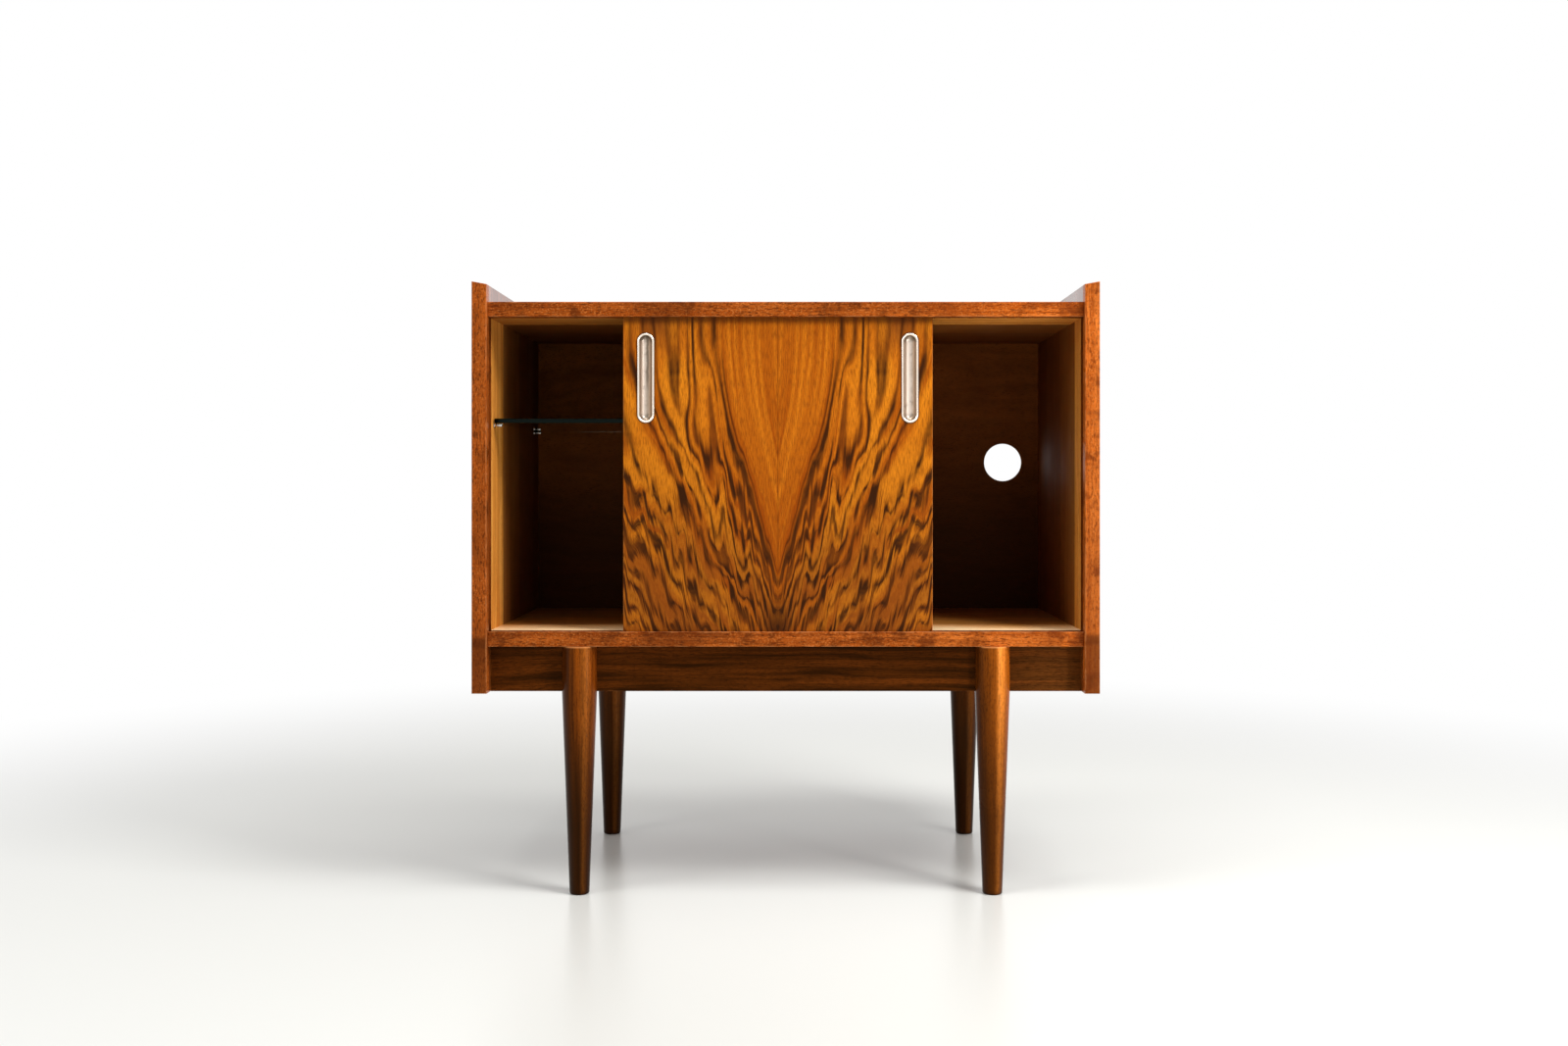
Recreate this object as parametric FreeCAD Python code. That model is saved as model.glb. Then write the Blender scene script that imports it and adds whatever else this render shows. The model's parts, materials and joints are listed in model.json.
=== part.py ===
import FreeCAD, Part
import os

# Bar cabinet on turned legs, with one door that slides in grooves.
# Millimetres. Origin on the floor under the middle of the case, front towards -Y, +Z up.

# Case
WIDTH = 800.0
DEPTH = 390.0
HEIGHT = 785.0
BOARD = 19.0
SIDE_BOTTOM = 260.0
SIDE_TOP_FALL = 3.5
FLOOR_TOP = 338.0
CEILING = 741.0
PANEL_SETBACK = 9.0
ARRIS = 0.8

# Door groove, measured back from the front edges of the sides
GROOVE_FRONT = 15.0
GROOVE_WIDTH = 16.5
GROOVE_SIDE_DEPTH = 7.0
GROOVE_TOP_DEPTH = 9.0
GROOVE_BOTTOM_DEPTH = 4.0

# Sliding door
DOOR_THICKNESS = 16.0
DOOR_WIDTH = 397.0
DOOR_CENTRE_X = -10.2
DOOR_TOP_ENGAGED = 4.5
DOOR_LIPPING = 4.0
GLIDE_PROUD = 1.2
GLIDE_GAP = 0.3
GLIDE_LENGTH = 30.0
GLIDE_WIDTH = 9.0
GLIDE_INSET = 8.0
GLIDE_SPREAD = 300.0

# Recessed pulls
PULL_WIDTH = 22.0
PULL_HEIGHT = 115.5
PULL_RIM = 3.0
PULL_PROUD = 1.6
PULL_RIM_BEVEL = 1.0
PULL_CUP_DEPTH = 8.0
PULL_CUP_BEVEL = 4.0
PULL_WALL = 1.2
PULL_FROM_EDGE = 29.0
PULL_CENTRE_Z = 663.0

# Partition, back and shelf
PARTITION_FRONT = 32.5
PARTITION_LIPPING = 5.0
BACK_THICKNESS = 5.0
BACK_REBATE = 9.5
CABLE_HOLE_DIAMETER = 57.0
CABLE_HOLE_X = 327.0
CABLE_HOLE_Z = 560.0
SHELF_UNDERSIDE = 606.0
SHELF_THICKNESS = 6.0
SHELF_FRONT = 40.0
SHELF_BACK = 380.0
SHELF_SIDE_GAP = 2.0
SHELF_ARRIS = 0.6
PIN_DIAMETER = 5.0
PIN_BURIED = 10.0
PIN_PROUD = 11.0
PIN_DEPTHS = (48.0, 346.0)

# Rails and legs
RAIL_FACE = 25.0
RAIL_THICKNESS = 20.0
LEG_X = 266.0
LEG_DIAMETER = 45.0
LEG_FOOT_DIAMETER = 25.5
LEG_FOOT_EASE = 2.0
GLUE_BLOCK_WIDTH = 18.0
GLUE_BLOCK_LENGTH = 60.0
GLUE_BLOCK_XS = (-130.0, 0.0, 130.0)

# Loose tongues that join the boards, half in each
TONGUE_THICKNESS = 4.0
TONGUE_HALF_WIDTH = 9.0
TONGUE_DEPTHS = (60.0, 340.0)
RAIL_TONGUE_MARGIN = 8.0
PLAY = 0.05

# Derived places
FRONT_Y = -DEPTH / 2
INNER_X = WIDTH / 2 - BOARD
FLOOR_UNDER = FLOOR_TOP - BOARD
TOP_FACE = CEILING + BOARD
GROOVE_BACK = GROOVE_FRONT + GROOVE_WIDTH
GROOVE_FLOOR = FLOOR_TOP - GROOVE_BOTTOM_DEPTH
GROOVE_ROOF = CEILING + GROOVE_TOP_DEPTH
BACK_FACE = DEPTH - BACK_THICKNESS
BACK_X = INNER_X + BACK_REBATE
BACK_LOW = FLOOR_TOP - BACK_REBATE
BACK_HIGH = CEILING + BACK_REBATE
DOOR_FACE = GROOVE_FRONT + (GROOVE_WIDTH - DOOR_THICKNESS) / 2
DOOR_BOTTOM = GROOVE_FLOOR + GLIDE_GAP + GLIDE_PROUD
DOOR_TOP = CEILING + DOOR_TOP_ENGAGED
DOOR_LEFT = DOOR_CENTRE_X - DOOR_WIDTH / 2
DOOR_RIGHT = DOOR_CENTRE_X + DOOR_WIDTH / 2
PULL_MOUTH_WIDTH = PULL_WIDTH - 2 * PULL_RIM
PULL_MOUTH_HEIGHT = PULL_HEIGHT - 2 * PULL_RIM
PIN_Z = SHELF_UNDERSIDE - PIN_DIAMETER / 2
TOP_MID = CEILING + BOARD / 2
FLOOR_MID = FLOOR_UNDER + BOARD / 2
RAIL_MID = RAIL_FACE + RAIL_THICKNESS / 2

ORIGIN = FreeCAD.Vector(0, 0, 0)
X_AXIS = FreeCAD.Vector(1, 0, 0)
Y_AXIS = FreeCAD.Vector(0, 1, 0)
Z_AXIS = FreeCAD.Vector(0, 0, 1)


# Shared shapes

def at_depth(depth):
    """Y of a point that far behind the front edges of the sides."""
    return FRONT_Y + depth


def around(middle, half):
    return (middle - half, middle + half)


def block(x_span, depth_span, z_span, play=0.0):
    """Square-edged solid between two values on each axis, grown by the play on every side."""
    corner = FreeCAD.Vector(x_span[0] - play, at_depth(depth_span[0] - play), z_span[0] - play)
    sizes = [span[1] - span[0] + 2 * play for span in (x_span, depth_span, z_span)]
    return Part.makeBox(*sizes, corner)


def prism(points, travel):
    """Closed outline pushed along a vector."""
    outline = Part.makePolygon(points + points[:1])
    return Part.Face(outline).extrude(travel)


def rod(start, axis, diameter, length):
    return Part.makeCylinder(diameter / 2, length, start, axis)


def stadium(width, height, thickness):
    """Upright slab with half-round ends, centred on X and Z, from Y = 0 back."""
    radius = width / 2
    straight = height / 2 - radius
    low_left = FreeCAD.Vector(-radius, 0, -straight)
    low_right = FreeCAD.Vector(radius, 0, -straight)
    high_right = FreeCAD.Vector(radius, 0, straight)
    high_left = FreeCAD.Vector(-radius, 0, straight)
    crown = FreeCAD.Vector(0, 0, straight + radius)
    edges = [
        Part.LineSegment(low_right, high_right).toShape(),
        Part.Arc(high_right, crown, high_left).toShape(),
        Part.LineSegment(high_left, low_left).toShape(),
        Part.Arc(low_left, -crown, low_right).toShape(),
    ]
    return Part.Face(Part.Wire(edges)).extrude(Y_AXIS * thickness)


def near(value, target):
    return abs(value - target) < 0.001


def edges_at(shape, test):
    """Edges whose every vertex passes the test."""
    return [edge for edge in shape.Edges if all(test(v.Point) for v in edge.Vertexes)]


def soften(shape, radius, test):
    return shape.makeFillet(radius, edges_at(shape, test))


def less(shape, tools):
    """The shape with every tool cut out of it."""
    for tool in tools:
        shape = shape.cut(tool)
    return shape


def moved(shape, place):
    copy = shape.copy()
    copy.translate(place)
    return copy


def mirrored(shape):
    """The same piece on the other side of the cabinet."""
    return shape.mirror(ORIGIN, X_AXIS)


def turned(shape):
    """The same piece at the opposite corner of the cabinet."""
    copy = shape.copy()
    copy.rotate(ORIGIN, Z_AXIS, 180)
    return copy


# Loose tongues

def panel_tongues(play=0.0):
    """Flat strips across the joints of the top and bottom with the sides."""
    return [
        block(
            around(side * INNER_X, TONGUE_HALF_WIDTH),
            TONGUE_DEPTHS,
            around(z, TONGUE_THICKNESS / 2),
            play,
        )
        for z in (TOP_MID, FLOOR_MID)
        for side in (-1, 1)
    ]


def partition_tongues(play=0.0):
    """Strips across the joints of the partition with the bottom and the top."""
    thickness = around(0.0, TONGUE_THICKNESS / 2)
    return [
        block(thickness, TONGUE_DEPTHS, around(z, TONGUE_HALF_WIDTH), play)
        for z in (FLOOR_TOP, CEILING)
    ]


def rail_tongues(play=0.0):
    """Upright strips across the joints of the rails with the sides."""
    z_span = (SIDE_BOTTOM + RAIL_TONGUE_MARGIN, FLOOR_UNDER - RAIL_TONGUE_MARGIN)
    return [
        block(
            around(side * INNER_X, TONGUE_HALF_WIDTH),
            around(depth, TONGUE_THICKNESS / 2),
            z_span,
            play,
        )
        for depth in (RAIL_MID, DEPTH - RAIL_MID)
        for side in (-1, 1)
    ]


# Shelf and its pins

def shelf_pins(play=0.0):
    """Pins in the left side and in the partition."""
    pins = []
    for wall_x, outwards in ((-INNER_X, X_AXIS), (-BOARD / 2, -X_AXIS)):
        for depth in PIN_DEPTHS:
            mouth = FreeCAD.Vector(wall_x, at_depth(depth), PIN_Z)
            start = mouth - outwards * (PIN_BURIED + play)
            length = PIN_BURIED + PIN_PROUD + play
            pins.append(rod(start, outwards, PIN_DIAMETER + 2 * play, length))
    return pins


def glass_shelf():
    x_span = (-INNER_X + SHELF_SIDE_GAP, -BOARD / 2 - SHELF_SIDE_GAP)
    z_span = (SHELF_UNDERSIDE, SHELF_UNDERSIDE + SHELF_THICKNESS)
    pane = block(x_span, (SHELF_FRONT, SHELF_BACK), z_span)
    return pane.makeChamfer(SHELF_ARRIS, pane.Edges)


# Sides

def side_outline(depth):
    """Left side seen from the front: upright board whose top edge falls towards the inside."""
    corners = (
        (-WIDTH / 2, SIDE_BOTTOM),
        (-INNER_X, SIDE_BOTTOM),
        (-INNER_X, HEIGHT - SIDE_TOP_FALL),
        (-WIDTH / 2, HEIGHT),
    )
    return [FreeCAD.Vector(x, at_depth(depth), z) for x, z in corners]


def left_side_lipping():
    lipping = prism(side_outline(0.0), Y_AXIS * GROOVE_FRONT)
    return soften(lipping, ARRIS, lambda p: near(p.y, FRONT_Y))


def left_side():
    """Board with the stopped door groove, the rebate for the back and the tongue slots."""
    board = prism(side_outline(GROOVE_FRONT), Y_AXIS * (DEPTH - GROOVE_FRONT))
    groove = block(
        (-INNER_X - GROOVE_SIDE_DEPTH, -INNER_X),
        (GROOVE_FRONT, GROOVE_BACK),
        (GROOVE_FLOOR, GROOVE_ROOF),
    )
    rebate = block((-BACK_X, -INNER_X), (BACK_FACE, DEPTH), (BACK_LOW, BACK_HIGH))
    return less(board, [groove, rebate] + panel_tongues(PLAY) + rail_tongues(PLAY))


# Top and bottom

def cross_panel(z_span, groove_z, rebate_z):
    """Board between the sides, grooved for the door and rebated for the back."""
    across = (-INNER_X, INNER_X)
    board = block(across, (GROOVE_FRONT, DEPTH), z_span)
    groove = block(across, (GROOVE_FRONT, GROOVE_BACK), groove_z)
    rebate = block(across, (BACK_FACE, DEPTH), rebate_z)
    return less(board, [groove, rebate] + panel_tongues(PLAY) + partition_tongues(PLAY))


def cross_lipping(z_span):
    strip = block((-INNER_X, INNER_X), (PANEL_SETBACK, GROOVE_FRONT), z_span)
    return soften(strip, ARRIS, lambda p: near(p.y, at_depth(PANEL_SETBACK)))


# Partition and back

def upright_board(depth_span):
    return block(around(0.0, BOARD / 2), depth_span, (FLOOR_TOP, CEILING))


def centre_partition():
    board = upright_board((PARTITION_FRONT + PARTITION_LIPPING, BACK_FACE))
    return less(board, partition_tongues(PLAY) + shelf_pins(PLAY))


def partition_lipping():
    strip = upright_board((PARTITION_FRONT, PARTITION_FRONT + PARTITION_LIPPING))
    return soften(strip, ARRIS, lambda p: near(p.y, at_depth(PARTITION_FRONT)))


def back_panel():
    sheet = block((-BACK_X, BACK_X), (BACK_FACE, DEPTH), (BACK_LOW, BACK_HIGH))
    centre = FreeCAD.Vector(CABLE_HOLE_X, at_depth(BACK_FACE), CABLE_HOLE_Z)
    return sheet.cut(rod(centre, Y_AXIS, CABLE_HOLE_DIAMETER, BACK_THICKNESS))


# Rails, legs and glue blocks

def front_rail():
    span = (RAIL_FACE, RAIL_FACE + RAIL_THICKNESS)
    rail = block((-INNER_X, INNER_X), span, (SIDE_BOTTOM, FLOOR_UNDER))
    rail = soften(rail, ARRIS, lambda p: near(p.z, SIDE_BOTTOM))
    return less(rail, rail_tongues(PLAY))


def leg_rings():
    """Heights and diameters of the turned leg: eased foot, long taper and straight top."""
    taper = (LEG_DIAMETER - LEG_FOOT_DIAMETER) / SIDE_BOTTOM
    return (
        (0.0, LEG_FOOT_DIAMETER - 2 * LEG_FOOT_EASE),
        (LEG_FOOT_EASE, LEG_FOOT_DIAMETER + taper * LEG_FOOT_EASE),
        (SIDE_BOTTOM, LEG_DIAMETER),
        (FLOOR_UNDER, LEG_DIAMETER),
    )


def ring(height, diameter):
    return Part.Wire(Part.makeCircle(diameter / 2, Z_AXIS * height))


def front_left_leg():
    """Turned leg whose upper end is cut to a half round that laps onto the rail's face."""
    leg = Part.makeLoft([ring(*size) for size in leg_rings()], True, True)
    leg.translate(FreeCAD.Vector(-LEG_X, at_depth(RAIL_FACE), 0))
    lap = block(
        around(-LEG_X, LEG_DIAMETER),
        (RAIL_FACE, RAIL_FACE + LEG_DIAMETER),
        (SIDE_BOTTOM, FLOOR_UNDER),
    )
    return leg.cut(lap)


def front_glue_blocks():
    """Three-cornered blocks in the angle between the front rail and the underside of the case."""
    face = at_depth(RAIL_FACE + RAIL_THICKNESS)
    blocks = []
    for x in GLUE_BLOCK_XS:
        left = x - GLUE_BLOCK_LENGTH / 2
        corners = [
            FreeCAD.Vector(left, face, FLOOR_UNDER),
            FreeCAD.Vector(left, face + GLUE_BLOCK_WIDTH, FLOOR_UNDER),
            FreeCAD.Vector(left, face, FLOOR_UNDER - GLUE_BLOCK_WIDTH),
        ]
        blocks.append(prism(corners, X_AXIS * GLUE_BLOCK_LENGTH))
    return blocks


def front_and_rear(pieces):
    return Part.makeCompound(pieces + [turned(piece) for piece in pieces])


# Sliding door

def pull_places():
    xs = (DOOR_LEFT + PULL_FROM_EDGE, DOOR_RIGHT - PULL_FROM_EDGE)
    return [FreeCAD.Vector(x, at_depth(DOOR_FACE), PULL_CENTRE_Z) for x in xs]


def pull_cup(play=0.0):
    """Outside of a pull's cup, which is let into the door."""
    growth = 2 * (PULL_WALL + play)
    depth = PULL_CUP_DEPTH + PULL_WALL + play
    return stadium(PULL_MOUTH_WIDTH + growth, PULL_MOUTH_HEIGHT + growth, depth)


def pull():
    """Pressed cup with a raised rim, centred on the origin, whose rim rests on the plane Y = 0."""
    forward = -Y_AXIS * PULL_PROUD
    rim = moved(stadium(PULL_WIDTH, PULL_HEIGHT, PULL_PROUD), forward)
    rim = rim.makeChamfer(PULL_RIM_BEVEL, edges_at(rim, lambda p: near(p.y, -PULL_PROUD)))
    hollow = moved(stadium(PULL_MOUTH_WIDTH, PULL_MOUTH_HEIGHT, PULL_PROUD + PULL_CUP_DEPTH), forward)
    hollow = hollow.makeChamfer(PULL_CUP_BEVEL, edges_at(hollow, lambda p: near(p.y, PULL_CUP_DEPTH)))
    return rim.fuse(pull_cup()).cut(hollow)


def glides(play=0.0):
    """Slips let into the lower edge of the door."""
    return [
        block(
            around(DOOR_CENTRE_X + side * GLIDE_SPREAD / 2, GLIDE_LENGTH / 2),
            around(DOOR_FACE + DOOR_THICKNESS / 2, GLIDE_WIDTH / 2),
            (DOOR_BOTTOM - GLIDE_PROUD, DOOR_BOTTOM + GLIDE_INSET),
            play,
        )
        for side in (-1, 1)
    ]


def rounded_glide(slip):
    """Glide with the two ends of its running face rounded, so that it rides over dust."""
    running = edges_at(slip, lambda p: near(p.z, DOOR_BOTTOM - GLIDE_PROUD))
    return slip.makeFillet(GLIDE_PROUD, [edge for edge in running if near(edge.Length, GLIDE_WIDTH)])


def door_board(x_span):
    return block(x_span, (DOOR_FACE, DOOR_FACE + DOOR_THICKNESS), (DOOR_BOTTOM, DOOR_TOP))


def door_panel():
    board = door_board((DOOR_LEFT + DOOR_LIPPING, DOOR_RIGHT - DOOR_LIPPING))
    pockets = [moved(pull_cup(PLAY), place) for place in pull_places()]
    return less(board, pockets + glides(PLAY))


def door_lipping(x_span, outer_x):
    return soften(door_board(x_span), ARRIS, lambda p: near(p.x, outer_x))


# Assembly

def build():
    left_board = left_side()
    left_lipping = left_side_lipping()
    rail = front_rail()
    leg = front_left_leg()
    other_leg = mirrored(leg)
    left_pull, right_pull = [moved(pull(), place) for place in pull_places()]
    floor_z = (FLOOR_UNDER, FLOOR_TOP)
    top_z = (CEILING, TOP_FACE)
    return {
        "left_side_panel": less(left_board, shelf_pins(PLAY)),
        "right_side_panel": mirrored(left_board),
        "left_side_lipping": left_lipping,
        "right_side_lipping": mirrored(left_lipping),
        "top_panel": cross_panel(top_z, (CEILING, GROOVE_ROOF), (CEILING, BACK_HIGH)),
        "top_lipping": cross_lipping(top_z),
        "bottom_panel": cross_panel(floor_z, (GROOVE_FLOOR, FLOOR_TOP), (BACK_LOW, FLOOR_TOP)),
        "bottom_lipping": cross_lipping(floor_z),
        "centre_partition": centre_partition(),
        "partition_lipping": partition_lipping(),
        "back_panel": back_panel(),
        "panel_tongues": Part.makeCompound(panel_tongues()),
        "partition_tongues": Part.makeCompound(partition_tongues()),
        "rail_tongues": Part.makeCompound(rail_tongues()),
        "glass_shelf": glass_shelf(),
        "shelf_pins": Part.makeCompound(shelf_pins()),
        "front_rail": rail,
        "rear_rail": turned(rail),
        "front_left_leg": leg,
        "front_right_leg": other_leg,
        "rear_left_leg": turned(other_leg),
        "rear_right_leg": turned(leg),
        "glue_blocks": front_and_rear(front_glue_blocks()),
        "door_panel": door_panel(),
        "door_left_lipping": door_lipping((DOOR_LEFT, DOOR_LEFT + DOOR_LIPPING), DOOR_LEFT),
        "door_right_lipping": door_lipping((DOOR_RIGHT - DOOR_LIPPING, DOOR_RIGHT), DOOR_RIGHT),
        "left_pull": left_pull,
        "right_pull": right_pull,
        "door_glides": Part.makeCompound([rounded_glide(slip) for slip in glides()]),
    }


os.makedirs("parts", exist_ok=True)
for name, shape in build().items():
    shape.exportStep(os.path.join("parts", name + ".step"))
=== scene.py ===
# %% [markdown]
# # A bar cabinet with a sliding door
#
# The cabinet is a veneered case on turned legs. One door, faced with bookmatched flame veneer, slides
# in grooves across a bay with a glass shelf and an open bay. The construction comes in as a finished
# frame. This lesson gives every surface its finish, adds the fittings and lights the result.

# %% Load the frame
import json
import math
from functools import reduce

import bmesh
import bpy
from mathutils import Matrix, Vector


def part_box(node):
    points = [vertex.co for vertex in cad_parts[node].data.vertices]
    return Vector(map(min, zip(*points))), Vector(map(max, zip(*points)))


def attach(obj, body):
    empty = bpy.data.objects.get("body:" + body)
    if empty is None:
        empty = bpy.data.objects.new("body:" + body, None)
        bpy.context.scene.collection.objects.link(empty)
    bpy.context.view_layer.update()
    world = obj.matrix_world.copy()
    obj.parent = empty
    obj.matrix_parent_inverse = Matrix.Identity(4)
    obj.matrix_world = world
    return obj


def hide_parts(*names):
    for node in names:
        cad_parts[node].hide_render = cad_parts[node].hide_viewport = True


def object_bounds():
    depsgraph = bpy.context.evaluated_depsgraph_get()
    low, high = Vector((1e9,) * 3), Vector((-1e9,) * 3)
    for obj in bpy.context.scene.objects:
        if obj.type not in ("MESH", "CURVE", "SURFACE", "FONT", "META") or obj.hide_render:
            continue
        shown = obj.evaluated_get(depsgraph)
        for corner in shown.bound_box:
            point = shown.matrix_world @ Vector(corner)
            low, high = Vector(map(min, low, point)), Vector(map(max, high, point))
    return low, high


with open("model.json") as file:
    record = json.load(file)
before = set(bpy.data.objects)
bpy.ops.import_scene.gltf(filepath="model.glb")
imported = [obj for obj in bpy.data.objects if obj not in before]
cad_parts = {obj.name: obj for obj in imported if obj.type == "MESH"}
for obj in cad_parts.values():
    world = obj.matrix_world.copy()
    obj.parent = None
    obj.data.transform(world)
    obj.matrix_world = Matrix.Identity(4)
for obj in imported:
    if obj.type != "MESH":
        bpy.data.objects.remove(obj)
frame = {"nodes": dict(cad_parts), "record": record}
cad_box = [list(corner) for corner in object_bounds()]
node = frame["nodes"]
scene = bpy.context.scene
MM = 0.001
print("cabinet box in metres:", cad_box)

# %% [markdown]
# ## Camera
#
# The picture is a straight view of the front. All lines that run into depth meet a little right of the
# middle and above it, so the camera stood level there. A tilted camera could frame the cabinet too, but
# its uprights would lean, so the frame is shifted instead.

# %% Camera
IMAGE_WIDTH = 1600
IMAGE_HEIGHT = 1067
VANISHING_X = 817.5
VANISHING_Y = 494.5
EYE = (0.0196, -2.135, 0.526)

camera_data = bpy.data.cameras.new("camera")
camera_data.lens = 35
camera_data.sensor_width = 36
camera_data.shift_x = (IMAGE_WIDTH / 2 - VANISHING_X) / IMAGE_WIDTH
camera_data.shift_y = (VANISHING_Y - IMAGE_HEIGHT / 2) / IMAGE_WIDTH
camera = bpy.data.objects.new("camera", camera_data)
camera.location = EYE
camera.rotation_euler = (math.radians(90), 0, 0)
scene.collection.objects.link(camera)
scene.camera = camera
scene.view_settings.view_transform = "Standard"
print("camera shift:", camera_data.shift_x, camera_data.shift_y)

# %% [markdown]
# ## Reckoning with nodes
#
# A finish is a chain of nodes. Wired by hand in the shader editor, it would not show how a colour came
# about. Here a wire stands for one output of a node. Reckoning with it, as with a number, adds math nodes
# to its tree. Colours are written as picked on screen, and converted to linear light for the nodes.

# %% Colours and wires
def tone(red, green, blue):
    """Colour picked on screen, 0 to 255, turned into the linear colour that nodes use."""
    levels = [level / 255 for level in (red, green, blue)]
    linear = [c / 12.92 if c <= 0.04045 else ((c + 0.055) / 1.055) ** 2.4 for c in levels]
    return (*linear, 1)


def reckoner(operation):
    """Method of a wire that adds a math node."""
    return lambda *values: reckon(operation, *values)


class Wire:
    """One output of a node, which can be reckoned with."""

    __add__ = reckoner("ADD")
    __sub__ = reckoner("SUBTRACT")
    __mul__ = reckoner("MULTIPLY")
    __truediv__ = reckoner("DIVIDE")
    __pow__ = reckoner("POWER")
    __gt__ = reckoner("GREATER_THAN")
    __lt__ = reckoner("LESS_THAN")
    __abs__ = reckoner("ABSOLUTE")

    def __init__(self, socket):
        self.socket = socket
        self.tree = socket.id_data

    def __rsub__(self, other):
        return reckon("SUBTRACT", other, self)


print("a grey of 128 on screen is", round(tone(128, 128, 128)[0], 3), "to the nodes")

# %% [markdown]
# A socket is fed with a wire, a number or a colour. A new node goes into the tree that its wires come
# from, so no formula has to say in which material it stands.

# %% Adding nodes
def feed(socket, value):
    """Links a wire to a socket, or sets a colour or a number on it."""
    if isinstance(value, Wire):
        value.tree.links.new(value.socket, socket)
    else:
        socket.default_value = tone(*value) if socket.type == "RGBA" else value


def add_node(tree, kind, inputs=None, **settings):
    made = tree.nodes.new(kind)
    for name, value in settings.items():
        setattr(made, name, value)
    for key, value in (inputs or {}).items():
        feed(made.inputs[key], value)
    return made


def wires(made):
    """A node's outputs by name."""
    return {socket.name: Wire(socket) for socket in made.outputs}


def follow(kind, inputs, output=0, **settings):
    """One output of a new node in the tree that its wires come from."""
    tree = [value.tree for value in inputs.values() if isinstance(value, Wire)][0]
    return Wire(add_node(tree, kind, inputs, **settings).outputs[output])


def reckon(operation, *values):
    return follow("ShaderNodeMath", dict(enumerate(values)), operation=operation)


print("helpers for nodes made: 5")

# %% [markdown]
# The nodes that the finishes use most get a function each, so that a formula stays short.

# %% Values and places
def least(*values):
    return reduce(reckoner("MINIMUM"), values)


def most(*values):
    return reduce(reckoner("MAXIMUM"), values)


def step(value, low, high, to_low=0, to_high=1):
    """Smooth rise from one level to another while the value goes from low to high."""
    inputs = {"Value": value, "From Min": low, "From Max": high, "To Min": to_low, "To Max": to_high}
    return follow("ShaderNodeMapRange", inputs, interpolation_type="SMOOTHSTEP")


def noise(place, scale=1, detail=2, roughness=0.5):
    inputs = {"Vector": place, "Scale": scale, "Detail": detail, "Roughness": roughness}
    return follow("ShaderNodeTexNoise", inputs, "Fac")


def turned(place, rotation=(0, 0, 0), scale=(1, 1, 1)):
    return follow("ShaderNodeMapping", {"Vector": place, "Rotation": rotation, "Scale": scale})


def point(x, y, z):
    return follow("ShaderNodeCombineXYZ", {"X": x, "Y": y, "Z": z})


def split(place):
    return list(wires(add_node(place.tree, "ShaderNodeSeparateXYZ", {"Vector": place})).values())


def length(place):
    return follow("ShaderNodeVectorMath", {0: place}, "Value", operation="LENGTH")


def bump(height, distance, strength):
    return follow("ShaderNodeBump", {"Height": height, "Distance": distance, "Strength": strength})


print("nodes with a function of their own: 7")

# %% [markdown]
# A finisher lays one coat of colour over the other, and so does the last of these functions. A mix node
# has sockets for every kind of data, so the ones for colours are picked by number.

# %% Coats of colour
UNDER = 6
OVER = 7
MIXED = 2


def blend(share, under, over):
    return follow("ShaderNodeMix", {0: share, UNDER: under, OVER: over}, MIXED, data_type="RGBA")


def coats(colour, *layers):
    """Lays layers, each a share and a colour, one over the other."""
    for share, over in layers:
        colour = blend(share, colour, over)
    return colour


print("mixed colours leave socket", MIXED)

# %% [markdown]
# These helpers start a node group or a material, feed its shader, and hang it on pieces of the frame.

# %% Groups and materials
VALUE = "NodeSocketFloat"
VECTOR = "NodeSocketVector"
COLOUR = "NodeSocketColor"


def new_group(name, inputs, outputs):
    """Empty group: its tree, the wires that it is given, and the sockets that it puts out."""
    tree = bpy.data.node_groups.new(name, "ShaderNodeTree")
    for way, sockets in (("INPUT", inputs), ("OUTPUT", outputs)):
        for socket, kind in sockets.items():
            tree.interface.new_socket(socket, in_out=way, socket_type=kind)
    return tree, wires(add_node(tree, "NodeGroupInput")), add_node(tree, "NodeGroupOutput").inputs


def new_material(name):
    """New material with its one shader, and its surface's own coordinates."""
    material = bpy.data.materials.new(name)
    material.use_nodes = True
    return material, wires(add_node(material.node_tree, "ShaderNodeTexCoord"))["Object"]


def paint(material, sockets, *names):
    """Feeds the shader's sockets, given by name, and hangs the material on pieces."""
    for socket, value in sockets.items():
        feed(material.node_tree.nodes["Principled BSDF"].inputs[socket], value)
    for name in names:
        node[name].data.materials.clear()
        node[name].data.materials.append(material)


print("pieces to finish:", len(node))

# %% [markdown]
# ## Straight grain
#
# Most of the wood here is straight-grained. Seen close, it has layers: wide bands from the growth rings,
# thin lines between them, and large and small pores that are cut open as short dark strokes. A picture
# of wood could be wrapped round each board, but it would stretch and repeat. Noise that is squeezed
# across the grain runs on round every corner, as in solid wood. The group takes a point whose X runs
# along the grain, and puts out values only, so each wood turns its coordinates and picks its colours.

# %% Straight grain group
grain_tree, given, grain_out = new_group(
    "straight_grain",
    {"Point": VECTOR, "Bands": VALUE, "Flecks": VALUE, "Wander": VALUE},
    {"Band": VALUE, "Line": VALUE, "Pore": VALUE, "Fleck": VALUE, "Cloud": VALUE},
)
along, across, through = split(given["Point"])
lazy = noise(turned(given["Point"], scale=(3, 9, 9)))
drift = (lazy - 0.5) * given["Wander"]
across += drift
through += drift


def grain_noise(often_along, often_across, detail):
    """Noise in long cells, given how often it changes in a metre along and across the grain."""
    place = point(along * often_along, across * often_across, through * often_across)
    return noise(place, detail=detail, roughness=0.55)


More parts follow.
